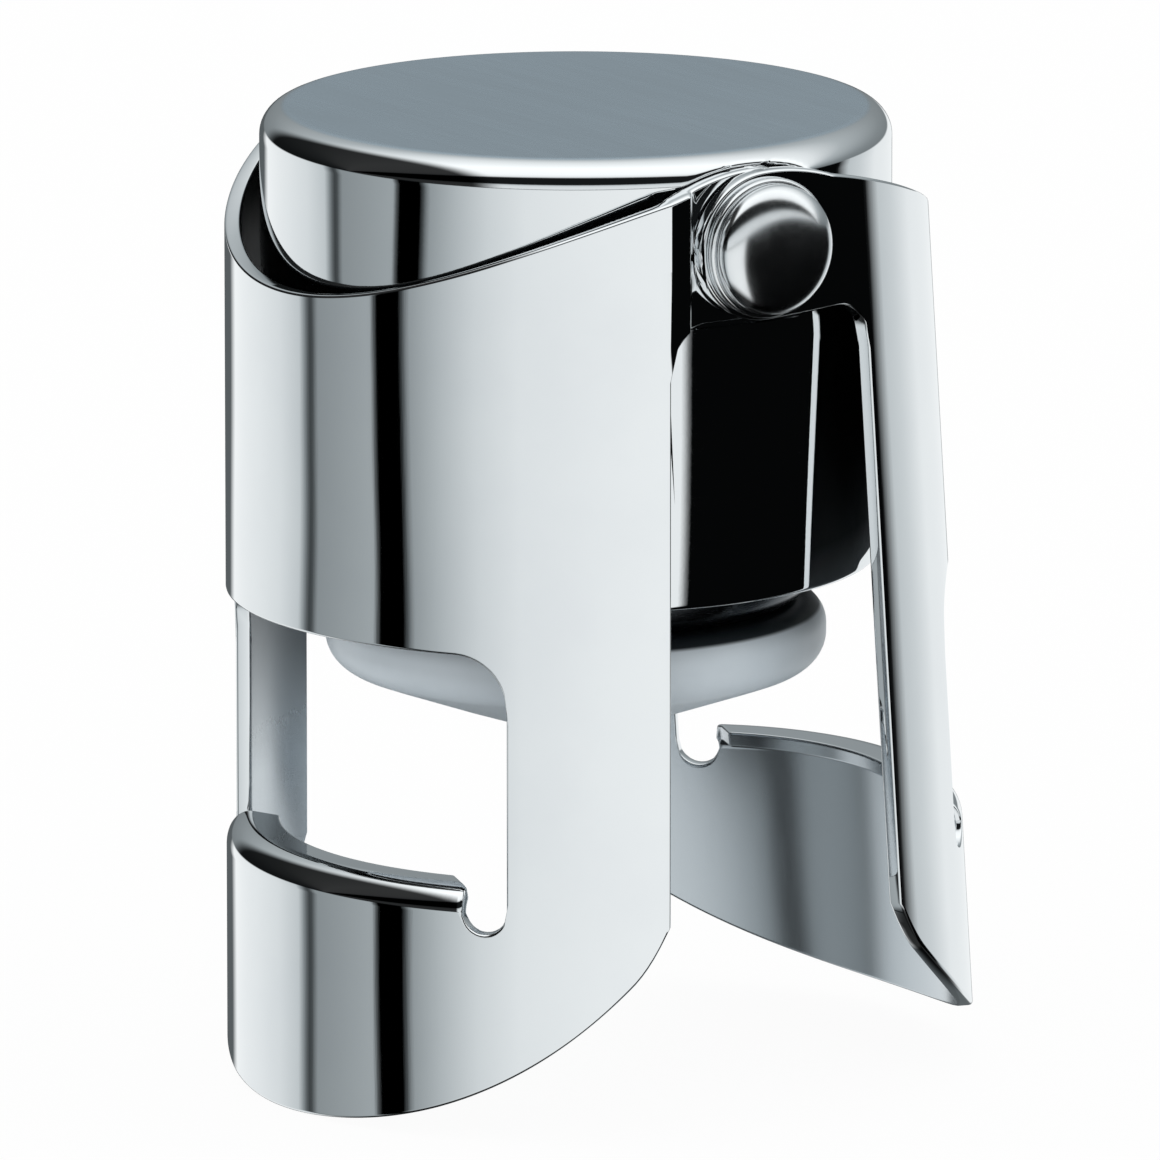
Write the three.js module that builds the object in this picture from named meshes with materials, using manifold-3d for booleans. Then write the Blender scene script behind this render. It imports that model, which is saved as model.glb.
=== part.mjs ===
// Champagne stopper: a sprung seal under a chromed cap, held to the bottle by two hinged wings.
// Millimetres. +Z is up through the cap, the two wings hinge about Y, and the origin is the
// centre of the flat tip of the seal's plug.
import * as THREE from "three";
import { mergeVertices } from "three/addons/utils/BufferGeometryUtils.js";
import Module from "manifold-3d";

const wasm = await Module();
wasm.setup();

// Clearances and common values
const slip = 0.1; // between two pieces that move or slide on each other
const seat = 0.06; // between two pieces that rest face to face
const overrun = 2; // how far a cutting tool runs past what it cuts
const roundSides = 48; // sides of the large round pieces
const smallSides = 24; // sides of pins, rivets and holes
const filletSteps = 4; // steps in a rounded edge

// Cap
const capRadius = 19.35;
const capTop = 38.3; // top face above the plug's tip
const capHeight = 27.95; // top face to the mouth of the deep skirt
const capStraight = 8.9; // upper part of the skirt, straight; below it the skirt narrows
const capTaper = 0.85; // how much narrower the mouth is than the cap
const capWall = 0.9;
const capRim = 1.8; // rounding between the top and the skirt
const hingeFlat = 0.45; // depth of the flats on the skirt that the wings' ears lie on
const hingeFlatMargin = 0.5; // how far the flats reach below the ears

// Collar inside the skirt's straight part: it backs the rivets, and its inner lip stops the bell
const collarWall = 0.8;
const collarTopGap = 1.9; // below the cap's ceiling, clear of the rounded rim
const lipThickness = 0.6;
const lipLand = 1; // how far the bell's rim overlaps the lip

// Hinge
const hingeDrop = 5.5; // hinge axis below the cap's top face
const rivetRadius = 2;
const rivetHeadRadius = 4;
const rivetHeadSide = 0.45; // straight side of the head
const rivetDome = 1.05; // crown of the head above its side
const rivetTailRadius = 2.7;
const rivetTail = 0.8; // thickness of the upset end inside the collar
const headWasherRadius = 4.3;
const headWasherThickness = 0.45;

// Wings
const sheet = 1;
const wingGap = 1.15; // air between the cap's skirt and a wing's band
const innerGap = 6.5; // hinge plane to the upright edge, on the side of the inner ear
const outerGap = 7.7; // the same on the side of the outer ear
const rightOpening = 4; // degrees that the right wing stands open
const earRadius = 4.7;
const earDrop = 4.5; // lower edge of an ear below the hinge axis
const earFillet = 3; // between the ear's lower edge and the upright edge
const earBend = 1.5; // length of the step between the ear and the band
const shoulderReach = 5; // where the slanted top edge leaves the ear
const shoulderRise = 3.7;
const crestDrop = 3.7; // top edge below the hinge axis at the wing's far side
const topSagShare = 0.4;
const bandDrop = 24.6; // top of the window below the hinge axis
const windowAngle = 44.5; // degrees round the wing from the hinge axis
const windowCorner = 3.4;
const hookAngle = 52; // degrees round the wing, where the hook flange starts
const hookDrop = 39; // gripping face below the hinge axis
const hookReach = 3.3; // from the wing's outer face inwards
const hookBend = 1.7; // outer radius of the bend
const hookTaperShare = 0.13; // how much shorter the flange is along its inner edge
const notchDrop = 41.8; // bottom of the relief notch beside the hook
const cornerDrop = 42.6; // where the upright edge meets the bottom edge
const cornerReach = 1.4; // rounding of that corner, along the sheet
const cornerLift = 0.9;
const toeDrop = 54.7;
const bottomSagShare = 0.46;
const wingStep = 4; // degrees between two columns of the bent sheet
const notchSteps = 6;
const earTipSteps = 8;
const earFlatSteps = 8;
const cornerShares = [0.2, 0.45, 0.7, 1]; // columns along the rounded lower corner
const windowCornerShares = [0.06, 0.2, 0.45, 0.7, 1]; // columns along the window's corner
const bendShares = [0.3, 0.6, 0.85, 0.96]; // columns along the step beside the ear
const leastTurn = 0.05; // degrees between two columns, below which one is left out

// Bell, the inner cup that carries the seal
const bellRimGap = 2.57; // between the bell's rim and the collar
const bellDraft = 1.2; // how much wider the bell is at its floor than under its rim
const bellWall = 0.8;
const bellCorner = 1.5;
const bellRimThickness = 0.8;

// Seal
const sealThickness = 7.7; // plug's tip to the top face
const sealRadius = 15.4;
const sealTopCorner = 1.7;
const sealSide = 0.5; // upright part of the rim
const sealLowerCorner = 2.7;
const sealLowerTurn = 64; // degrees that the lower corner turns before it meets the cone
const plugRadius = 8.1;
const plugHeight = 1.3;
const tipRadius = 4.3;
const plugBulgeShare = 0.25; // how high the plug's face is halfway out, of its height
const coneSagShare = 0.17; // how far the cone dips before the rim, of the lower corner

// Stem that holds the seal to the bell
const stemRadius = 2;
const stemFootRadius = 4.6;
const stemFootThickness = 1.3;
const stemCover = 3; // rubber left under the stem's foot
const stemHeadRadius = 3.4;
const stemHeadThickness = 1.4;
const stemWasherRadius = 5.4;
const stemWasherThickness = 0.8;

// Spring and its seat under the cap
const springRadius = 9; // to the middle of the wire
const springWire = 1.6;
const springCurls = 7;
const springStepsPerCurl = 8;
const springSides = 5;
const leastSpringGap = 0.4;
const springSeatRadius = 11.6;
const springSeatThickness = 0.8;
const springSeatBoss = 2.2; // height of the boss that centres the spring

// Places worked out from the sizes above
const hingeZ = capTop - hingeDrop;
const capBottom = capTop - capHeight;
const capMouthRadius = capRadius - capTaper;
const collarBottom = capTop - capStraight;
const capCeiling = capTop - capWall;
const capBore = capRadius - capWall;
const wingRadius = capRadius + wingGap + sheet;
const lipTop = collarBottom + lipThickness;
const bellRimBottom = lipTop + seat;
const travel = capCeiling - bellRimBottom - bellRimThickness - slip; // how far the bell can rise
const bellBase = sealThickness + seat;
const bellHoleRadius = stemRadius + slip;
const springBottom = bellBase + bellWall + seat;
const springTop = capCeiling - seat - springSeatThickness - seat;

// The bell widens downwards, so the lip clears the widest part that reaches it.
const collarInner = capBore - slip - collarWall;
const bellRimRadius = collarInner - bellRimGap;
const lipRadius = bellRimRadius - lipLand;
const bellSlope = bellDraft / (bellRimBottom - bellBase);
const bellTopRadius = lipRadius - 3 * slip - bellSlope * (travel + lipThickness + seat);
const bellBottomRadius = bellTopRadius + bellDraft;

const chrome = { color: 0xc9ced1, roughness: 0.12, metalness: 1 };
const steel = { color: 0x9a9fa3, roughness: 0.35, metalness: 1 };
const rubber = { color: 0xb4bbc0, roughness: 0.45, metalness: 0 };

// A closed mesh as a solid for joining and cutting.
function toSolid(geometry) {
  const bare = geometry.clone();
  bare.deleteAttribute("normal");
  bare.deleteAttribute("uv");
  const merged = mergeVertices(bare, 1e-4);
  const source = merged.index.array;
  const kept = [];
  for (let i = 0; i < source.length; i += 3) {
    const [a, b, c] = [source[i], source[i + 1], source[i + 2]];
    if (a !== b && b !== c && c !== a) kept.push(a, b, c);
  }
  return new wasm.Manifold(
    new wasm.Mesh({
      numProp: 3,
      vertProperties: merged.attributes.position.array,
      triVerts: new Uint32Array(kept),
    }),
  );
}

function toGeometry(solid) {
  const mesh = solid.getMesh();
  const geometry = new THREE.BufferGeometry();
  const positions = new THREE.BufferAttribute(new Float32Array(mesh.vertProperties), 3);
  geometry.setAttribute("position", positions);
  geometry.setIndex(new THREE.BufferAttribute(new Uint32Array(mesh.triVerts), 1));
  return geometry;
}

function geometryFrom(points, triangles) {
  const geometry = new THREE.BufferGeometry();
  geometry.setAttribute("position", new THREE.Float32BufferAttribute(points.flat(), 3));
  geometry.setIndex(triangles);
  return geometry;
}

// Points of an arc in a profile: [radius, height] pairs from one angle to another, in degrees.
function arc(centreRadius, centreHeight, radius, from, to) {
  const points = [];
  for (let i = 0; i <= filletSteps; i++) {
    const angle = THREE.MathUtils.degToRad(from + ((to - from) * i) / filletSteps);
    const across = centreRadius + radius * Math.cos(angle);
    points.push([across, centreHeight + radius * Math.sin(angle)]);
  }
  return points;
}

// A profile of [radius, height] pairs, taken up the outside and down the inside, turned about Z.
function turned(profile, sides = roundSides) {
  const points = profile.map(([radius, height]) => new THREE.Vector2(Math.max(radius, 0), height));
  return new THREE.LatheGeometry(points, sides).rotateX(Math.PI / 2);
}

function ring(outer, inner, bottom, top, sides = roundSides) {
  const profile = [[inner, bottom], [outer, bottom], [outer, top], [inner, top], [inner, bottom]];
  return turned(profile, sides);
}

function rod(radius, bottom, top, sides = smallSides) {
  return turned([[0, bottom], [radius, bottom], [radius, top], [0, top]], sides);
}

// Turns a piece made along Z so that it points along -Y from the hinge axis.
function alongHinge(geometry) {
  return geometry.rotateX(Math.PI / 2).translate(0, 0, hingeZ);
}

// A tool along the hinge axis that cuts both sides.
function hingeHole(radius) {
  const reach = wingRadius + overrun;
  return toSolid(alongHinge(rod(radius, -reach, reach)));
}

// Cap: top, rounded rim and deep skirt, with a flat on each side for the ears
function capShell() {
  const innerRim = capRim - capWall;
  const profile = [
    [0, capCeiling],
    ...arc(capBore - innerRim, capCeiling - innerRim, innerRim, 90, 0),
    [capBore, collarBottom],
    [capMouthRadius - capWall, capBottom],
    [capMouthRadius, capBottom],
    [capRadius, collarBottom],
    ...arc(capRadius - capRim, capTop - capRim, capRim, 0, 90),
    [0, capTop],
  ];
  let shell = toSolid(turned(profile)).subtract(hingeHole(rivetRadius + slip));
  for (const side of [-1, 1]) shell = shell.subtract(hingeFlatTool(side));
  return toGeometry(shell);
}

// What is taken off the skirt on one side, from just below the ears up past the top.
function hingeFlatTool(side) {
  const from = capRadius - hingeFlat;
  const bottom = hingeZ - earDrop - hingeFlatMargin;
  const depth = hingeFlat + overrun;
  const height = capTop + overrun - bottom;
  const box = new THREE.BoxGeometry(2 * capRadius, depth, height);
  return toSolid(box.translate(0, side * (from + depth / 2), bottom + height / 2));
}

function collar() {
  const outer = capBore - slip;
  const top = capCeiling - collarTopGap;
  const profile = [
    [lipRadius, collarBottom],
    [outer, collarBottom],
    [outer, top],
    [collarInner, top],
    [collarInner, lipTop],
    [lipRadius, lipTop],
    [lipRadius, collarBottom],
  ];
  return toGeometry(toSolid(turned(profile)).subtract(hingeHole(rivetRadius + slip)));
}

// Inner face of an ear: layer 0 lies on the cap's flat and layer 1 on the other wing's ear.
function earFace(layer) {
  return capRadius - hingeFlat + seat + layer * (sheet + seat);
}

// Hinge rivet: domed head outside, shank through washer, ears, skirt and collar, upset end inside
function rivet() {
  const headBase = earFace(2) + headWasherThickness + seat;
  const sideTop = headBase + rivetHeadSide;
  const tailTop = Math.sqrt(collarInner ** 2 - rivetTailRadius ** 2) - seat;
  const domeRadius = (rivetHeadRadius ** 2 + rivetDome ** 2) / (2 * rivetDome);
  const domeCentre = sideTop + rivetDome - domeRadius;
  const domeAngle = THREE.MathUtils.radToDeg(Math.acos(rivetHeadRadius / domeRadius));
  const profile = [
    [0, tailTop - rivetTail],
    [rivetTailRadius, tailTop - rivetTail],
    [rivetTailRadius, tailTop],
    [rivetRadius, tailTop],
    [rivetRadius, headBase],
    [rivetHeadRadius, headBase],
    ...arc(0, domeCentre, domeRadius, domeAngle, 90),
  ];
  return alongHinge(turned(profile, smallSides));
}

function headWasher() {
  const face = earFace(2);
  const washer = ring(headWasherRadius, rivetRadius + slip, face, face + headWasherThickness, smallSides);
  return alongHinge(washer);
}

// Bent sheet: columns of the wing, each with an outer and an inner point in plan
function earColumn(along, gap, layer) {
  const inner = -earFace(layer);
  return { reach: -along, gap, onEar: true, outer: [along, inner - sheet], inner: [along, inner] };
}

function bandColumn(turn, gap) {
  const angle = THREE.MathUtils.degToRad(turn);
  const [side, front] = [Math.sin(angle), Math.cos(angle)];
  const innerRadius = wingRadius - sheet;
  return {
    turn,
    reach: wingRadius * side,
    gap,
    outer: [-wingRadius * side, -wingRadius * front],
    inner: [-innerRadius * side, -innerRadius * front],
  };
}

// The step that joins an ear to the band.
function bendColumn(from, to, share) {
  const mix = (a, b) => a + (b - a) * share;
  const between = ([ax, ay], [bx, by]) => [mix(ax, bx), mix(ay, by)];
  return {
    ...from,
    reach: mix(from.reach, to.reach),
    outer: between(from.outer, to.outer),
    inner: between(from.inner, to.inner),
  };
}

// The same column at the back of the wing.
function mirrored(column) {
  const flip = ([x, y]) => [x, -y];
  return { ...column, outer: flip(column.outer), inner: flip(column.inner), back: true };
}

// A closed strip of sheet over a row of columns, between a lower and an upper edge.
function bentStrip(columns, lowAt, highAt) {
  const points = [];
  const triangles = [];
  const quad = (a, b, c, d) => triangles.push(a, b, c, a, c, d);
  for (const column of columns) {
    const [low, high] = [lowAt(column), highAt(column)];
    points.push([...column.outer, low], [...column.outer, high]);
    points.push([...column.inner, low], [...column.inner, high]);
  }
  for (let i = 0; i < columns.length - 1; i++) {
    const [here, next] = [i * 4, i * 4 + 4];
    quad(here, here + 1, next + 1, next);
    quad(here + 2, next + 2, next + 3, here + 3);
    quad(here + 1, here + 3, next + 3, next + 1);
    quad(here, next, next + 2, here + 2);
  }
  const last = (columns.length - 1) * 4;
  quad(0, 2, 3, 1);
  quad(last, last + 1, last + 3, last + 2);
  return toSolid(geometryFrom(points, triangles));
}

// Heights of the wing's edges above the hinge axis, from the distance to the hinge plane
function topEdge({ reach }) {
  if (reach <= 0) return Math.sqrt(Math.max(earRadius ** 2 - reach ** 2, 0));
  if (reach < shoulderReach) {
    const share = reach / shoulderReach;
    return earRadius - (earRadius - shoulderRise) * share ** 2;
  }
  const share = (reach - shoulderReach) / (wingRadius - shoulderReach);
  const sagged = share - topSagShare * share * (1 - share);
  return shoulderRise - (shoulderRise + crestDrop) * sagged;
}

function bottomEdge({ reach, gap }) {
  const share = (reach - innerGap) / (wingRadius - innerGap);
  const sagged = share + bottomSagShare * share * (1 - share);
  const corner = Math.max(1 - (reach - gap) / cornerReach, 0);
  return -cornerDrop - (toeDrop - cornerDrop) * sagged + cornerLift * corner ** 2;
}

// Lower edge of an ear: round past the rivet, straight, then a fillet to the upright edge.
function earLow({ reach, gap }) {
  if (reach <= 0) return -earDrop * Math.sqrt(Math.max(1 - (reach / earRadius) ** 2, 0));
  const past = Math.max(reach - (gap - earFillet), 0);
  return -earDrop - earFillet + Math.sqrt(Math.max(earFillet ** 2 - past ** 2, 0));
}

// Distance along the sheet between two angles round the wing.
function arcLength(degrees) {
  return THREE.MathUtils.degToRad(Math.abs(degrees)) * wingRadius;
}

function windowTop({ turn }) {
  const fromEdge = arcLength(turn - windowAngle);
  const left = Math.max(windowCorner - fromEdge, 0);
  if (turn < windowAngle) return -bandDrop - windowCorner;
  return -bandDrop - windowCorner + Math.sqrt(Math.max(windowCorner ** 2 - left ** 2, 0));
}

// The relief notch beside the hook ends in a half circle.
function notchEdge({ turn }) {
  const half = arcLength(hookAngle - windowAngle) / 2;
  const offset = arcLength(turn - (hookAngle + windowAngle) / 2);
  return -notchDrop + half - Math.sqrt(Math.max(half ** 2 - offset ** 2, 0));
}

// Angles of the band's columns from the upright edge to the far side
function bandTurns(gap) {
  const edge = THREE.MathUtils.radToDeg(Math.asin(gap / wingRadius));
  const cornerTurn = THREE.MathUtils.radToDeg(cornerReach / wingRadius);
  const windowTurn = THREE.MathUtils.radToDeg(windowCorner / wingRadius);
  const turns = [edge];
  for (const share of cornerShares) turns.push(edge + cornerTurn * share);
  const strutSteps = Math.round((windowAngle - edge - cornerTurn) / wingStep);
  for (let i = 1; i < strutSteps; i++) {
    turns.push(edge + cornerTurn + ((windowAngle - edge - cornerTurn) * i) / strutSteps);
  }
  for (let i = 0; i <= notchSteps; i++) {
    turns.push(windowAngle + ((hookAngle - windowAngle) * i) / notchSteps);
  }
  for (const share of windowCornerShares) turns.push(windowAngle + windowTurn * share);
  const bandSteps = Math.round((90 - hookAngle) / wingStep);
  for (let i = 1; i < bandSteps; i++) turns.push(hookAngle + ((90 - hookAngle) * i) / bandSteps);
  turns.sort((a, b) => a - b);
  return turns.filter((turn, i) => i === 0 || turn - turns[i - 1] > leastTurn);
}

// Columns of one side: round the ear, along its flat, over the step and round the band
function sideColumns(gap, layer) {
  const ear = [];
  for (let i = 0; i < earTipSteps; i++) {
    const angle = (Math.PI / 2) * (i / earTipSteps);
    ear.push(earColumn(earRadius * Math.cos(angle), gap, layer));
  }
  const flatReach = gap - earBend;
  for (let i = 0; i <= earFlatSteps; i++) {
    ear.push(earColumn((-flatReach * i) / earFlatSteps, gap, layer));
  }
  const band = bandTurns(gap).map((turn) => bandColumn(turn, gap));
  const flatEnd = ear[ear.length - 1];
  for (const share of bendShares) ear.push(bendColumn(flatEnd, band[0], share));
  return { ear, band };
}

// Columns of a front and a back side joined round the wing's far side.
function joined(front, back) {
  return [...front, bandColumn(90, innerGap), ...back.map(mirrored).reverse()];
}

// Hook flange: the sheet turned inwards at the foot of the window
function hookFlange(columns) {
  const inner = hookBend - sheet;
  const foot = -hookDrop - 2 * hookBend;
  const section = [
    [0, foot],
    ...arc(-hookBend, -hookDrop - hookBend, hookBend, 0, 90),
    [-hookReach, -hookDrop],
    [-hookReach, -hookDrop - sheet],
    ...arc(-hookBend, -hookDrop - hookBend, inner, 90, 0),
    [-sheet, foot],
  ];
  const points = [];
  const triangles = [];
  const count = section.length;
  for (const column of columns) {
    for (const [inwards, height] of section) {
      const past = Math.max(-inwards - sheet, 0) / (hookReach - sheet);
      const fromFarSide = (90 - column.turn) * (1 - hookTaperShare * past);
      const angle = THREE.MathUtils.degToRad(fromFarSide);
      const radius = wingRadius + inwards;
      const y = radius * Math.sin(angle);
      points.push([-radius * Math.cos(angle), column.back ? y : -y, height]);
    }
  }
  for (let i = 0; i < columns.length - 1; i++) {
    for (let j = 0; j < count; j++) {
      const [a, b] = [i * count + j, i * count + ((j + 1) % count)];
      triangles.push(a, b, b + count, a, b + count, a + count);
    }
  }
  const outline = section.map(([inwards, height]) => new THREE.Vector2(inwards, height));
  const lastRow = (columns.length - 1) * count;
  for (const [a, b, c] of THREE.ShapeUtils.triangulateShape(outline, [])) {
    triangles.push(a, c, b, lastRow + a, lastRow + b, lastRow + c);
  }
  return toSolid(geometryFrom(points, triangles));
}

// A wing on the -X side, closed, with its hinge axis through the origin. Its front ear is the
// inner one and its back ear the outer one, so the same pressing turned round makes the other wing.
function wing() {
  const front = sideColumns(innerGap, 0);
  const back = sideColumns(outerGap, 1);
  const crown = joined([...front.ear, ...front.band], [...back.ear, ...back.band]);
  const edges = [front.band[0], back.band[0]];
  const crownLow = (column) => {
    const beside = column.onEar || edges.some((edge) => edge.turn === column.turn);
    return beside ? earLow(column) : windowTop(column);
  };
  const parts = [bentStrip(crown, crownLow, topEdge)];
  const half = leastTurn / 2;
  const within = (band, from, to) => {
    return band.filter(({ turn }) => turn >= from - half && turn <= to + half);
  };
  for (const band of [front.band, back.band.map(mirrored).reverse()]) {
    parts.push(bentStrip(within(band, 0, windowAngle), bottomEdge, topEdge));
    parts.push(bentStrip(within(band, windowAngle, hookAngle), bottomEdge, notchEdge));
  }
  const foot = joined(within(front.band, hookAngle, 90), within(back.band, hookAngle, 90));
  parts.push(bentStrip(foot, bottomEdge, () => -hookDrop - hookBend));
  parts.push(hookFlange(foot));
  const reach = wingRadius + overrun;
  const hole = toSolid(rod(rivetRadius + slip, -reach, reach).rotateX(Math.PI / 2));
  return parts.reduce((whole, part) => whole.add(part)).subtract(hole);
}

// Bell: a drawn cup with a rim at its mouth and a hole for the stem
function bell() {
  const rimTop = bellRimBottom + bellRimThickness;
  const innerCorner = bellCorner - bellWall;
  const cornerRadius = bellBottomRadius - bellCorner;
  const cornerHeight = bellBase + bellCorner;
  const profile = [
    [bellHoleRadius, bellBase],
    ...arc(cornerRadius, cornerHeight, bellCorner, -90, 0),
    [bellTopRadius, bellRimBottom],
    [bellRimRadius, bellRimBottom],
    [bellRimRadius, rimTop],
    [bellTopRadius - bellWall, rimTop],
    ...arc(cornerRadius, cornerHeight, innerCorner, 0, -90),
    [bellHoleRadius, bellBase + bellWall],
    [bellHoleRadius, bellBase],
  ];
  return turned(profile);
}

// Seal: rounded rim, conical lower face and a shallow plug, moulded round the stem's foot
function seal() {
  const top = sealThickness;
  const rimTop = top - sealTopCorner;
  const rimBottom = rimTop - sealSide;
  const lowerTurn = THREE.MathUtils.degToRad(sealLowerTurn);
  const coneRadius = sealRadius - sealLowerCorner * (1 - Math.cos(lowerTurn));
  const coneTop = rimBottom - sealLowerCorner * Math.sin(lowerTurn);
  const plugShoulder = [(tipRadius + plugRadius) / 2, plugHeight * plugBulgeShare];
  const coneFoot = [coneRadius - sealLowerCorner / 2, coneTop - sealLowerCorner * coneSagShare];
  const footBottom = stemCover - slip;
  const footTop = stemCover + stemFootThickness + slip;
  const holeRadius = stemRadius + slip;
  const footRadius = stemFootRadius + slip;
  const profile = [
    [0, 0],
    [tipRadius, 0],
    plugShoulder,
    [plugRadius, plugHeight],
    coneFoot,
    ...arc(sealRadius - sealLowerCorner, rimBottom, sealLowerCorner, -sealLowerTurn, 0),
    ...arc(sealRadius - sealTopCorner, rimTop, sealTopCorner, 0, 90),
    [holeRadius, top],
    [holeRadius, footTop],
    [footRadius, footTop],
    [footRadius, footBottom],
    [0, footBottom],
  ];
  return turned(profile);
}

// Stem: foot inside the rubber, shank through the bell's floor, upset head above its washer
function stem() {
  const footTop = stemCover + stemFootThickness;
  const headBottom = stemHeadBottom();
  const profile = [
    [0, stemCover],
    [stemFootRadius, stemCover],
    [stemFootRadius, footTop],
    [stemRadius, footTop],
    [stemRadius, headBottom],
    [stemHeadRadius, headBottom],
    [stemHeadRadius, headBottom + stemHeadThickness / 2],
    [stemHeadRadius / 2, headBottom + stemHeadThickness],
    [0, headBottom + stemHeadThickness],
  ];
  return turned(profile, smallSides);
}

function stemHeadBottom() {
  return bellBase + bellWall + seat + stemWasherThickness + seat;
}

function stemWasher() {
  const bottom = bellBase + bellWall + seat;
  return ring(stemWasherRadius, bellHoleRadius, bottom, bottom + stemWasherThickness, smallSides);
}

// Spring seat: a disc under the cap's ceiling with a boss that centres the spring
function springSeat() {
  const top = capCeiling - seat;
  const face = top - springSeatThickness;
  const chordShare = Math.cos(Math.PI / springStepsPerCurl);
  const bossRadius = (springRadius - springWire / 2) * chordShare - slip;
  const profile = [
    [0, face - springSeatBoss],
    [bossRadius, face - springSeatBoss],
    [bossRadius, face],
    [springSeatRadius, face],
    [springSeatRadius, top],
    [0, top],
  ];
  return turned(profile);
}

// Spring: one unbroken wire wound from the bell's floor to the seat under the cap
function spring() {
  const wireRadius = springWire / 2;
  const from = springBottom + wireRadius + seat;
  const rise = springTop - wireRadius - seat - from;
  const steps = springCurls * springStepsPerCurl;
  const centres = [];
  const points = [];
  const triangles = [];
  for (let i = 0; i <= steps; i++) {
    const turn = (i / springStepsPerCurl) * 2 * Math.PI;
    const height = from + (rise * i) / steps;
    const outwards = new THREE.Vector3(Math.cos(turn), Math.sin(turn), 0);
    centres.push(outwards.clone().multiplyScalar(springRadius).setZ(height));
    for (let j = 0; j < springSides; j++) {
      const angle = (2 * Math.PI * j) / springSides;
      const radius = springRadius + wireRadius * Math.cos(angle);
      points.push([outwards.x * radius, outwards.y * radius, height + wireRadius * Math.sin(angle)]);
    }
  }
  for (let i = 0; i < steps; i++) {
    for (let j = 0; j < springSides; j++) {
      const [a, b] = [i * springSides + j, i * springSides + ((j + 1) % springSides)];
      triangles.push(a, a + springSides, b + springSides, a, b + springSides, b);
    }
  }
  const last = steps * springSides;
  for (let j = 1; j < springSides - 1; j++) {
    triangles.push(0, j, j + 1, last, last + j + 1, last + j);
  }
  reportSpringGap(centres);
  return geometryFrom(points, triangles);
}

// Least distance between the wire and its own next curl, measured on the wire's centre line.
function reportSpringGap(centres) {
  let least = Infinity;
  for (let i = 0; i < centres.length; i++) {
    for (let j = i + springStepsPerCurl / 2; j < centres.length; j++) {
      least = Math.min(least, centres[i].distanceTo(centres[j]));
    }
  }
  const gap = least - springWire;
  console.log("spring: least gap between curls " + gap.toFixed(2) + " mm");
  if (gap < leastSpringGap) console.log("spring: the curls are too close");
}

const stopper = new THREE.Group();

function addPiece(name, geometry, look, parent = stopper) {
  geometry.computeVertexNormals();
  const mesh = new THREE.Mesh(geometry, new THREE.MeshStandardMaterial(look));
  mesh.name = name;
  parent.add(mesh);
  return mesh;
}

addPiece("cap_shell", capShell(), chrome);
addPiece("collar", collar(), steel);
addPiece("spring_seat", springSeat(), steel);
addPiece("front_rivet", rivet(), chrome);
addPiece("front_washer", headWasher(), chrome);
addPiece("back_rivet", rivet().rotateZ(Math.PI), chrome);
addPiece("back_washer", headWasher().rotateZ(Math.PI), chrome);
addPiece("bell", bell(), chrome);
addPiece("seal", seal(), rubber);
addPiece("stem", stem(), steel);
addPiece("stem_washer", stemWasher(), steel);
addPiece("spring", spring(), steel);

const wingShape = toGeometry(wing());
const leftHinge = new THREE.Group();
leftHinge.position.z = hingeZ;
stopper.add(leftHinge);
addPiece("left_wing", wingShape, chrome, leftHinge);

const rightHinge = new THREE.Group();
rightHinge.position.z = hingeZ;
rightHinge.rotation.y = -THREE.MathUtils.degToRad(rightOpening);
stopper.add(rightHinge);
addPiece("right_wing", wingShape.clone().rotateZ(Math.PI), chrome, rightHinge);

export default stopper;
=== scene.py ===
import math
import bmesh
import bpy
from mathutils import Matrix, Vector


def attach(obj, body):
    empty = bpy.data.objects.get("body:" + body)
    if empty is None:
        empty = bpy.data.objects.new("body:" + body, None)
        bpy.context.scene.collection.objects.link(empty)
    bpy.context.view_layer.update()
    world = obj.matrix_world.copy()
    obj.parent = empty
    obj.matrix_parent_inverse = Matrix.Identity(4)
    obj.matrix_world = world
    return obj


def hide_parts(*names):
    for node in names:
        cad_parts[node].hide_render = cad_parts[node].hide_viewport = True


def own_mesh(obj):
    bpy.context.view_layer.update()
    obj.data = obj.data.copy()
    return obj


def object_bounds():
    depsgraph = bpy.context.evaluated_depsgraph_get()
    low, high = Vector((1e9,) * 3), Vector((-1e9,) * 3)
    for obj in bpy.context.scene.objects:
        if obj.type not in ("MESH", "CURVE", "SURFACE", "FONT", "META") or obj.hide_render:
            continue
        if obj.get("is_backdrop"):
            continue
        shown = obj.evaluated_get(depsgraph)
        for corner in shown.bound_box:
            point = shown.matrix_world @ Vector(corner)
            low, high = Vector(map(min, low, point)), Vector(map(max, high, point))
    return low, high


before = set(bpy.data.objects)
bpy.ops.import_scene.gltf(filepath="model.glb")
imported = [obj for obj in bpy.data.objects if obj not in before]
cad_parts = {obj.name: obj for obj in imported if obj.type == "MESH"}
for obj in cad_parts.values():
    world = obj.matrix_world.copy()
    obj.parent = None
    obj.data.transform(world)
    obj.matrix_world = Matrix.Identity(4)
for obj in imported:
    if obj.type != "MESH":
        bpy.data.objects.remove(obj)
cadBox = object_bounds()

mm = 0.001
plainWhite = (1, 1, 1, 1)
scene = bpy.context.scene
scene.view_settings.view_transform = "Standard"


def addObject(name, data):
    added = bpy.data.objects.new(name, data)
    scene.collection.objects.link(added)
    return added


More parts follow.
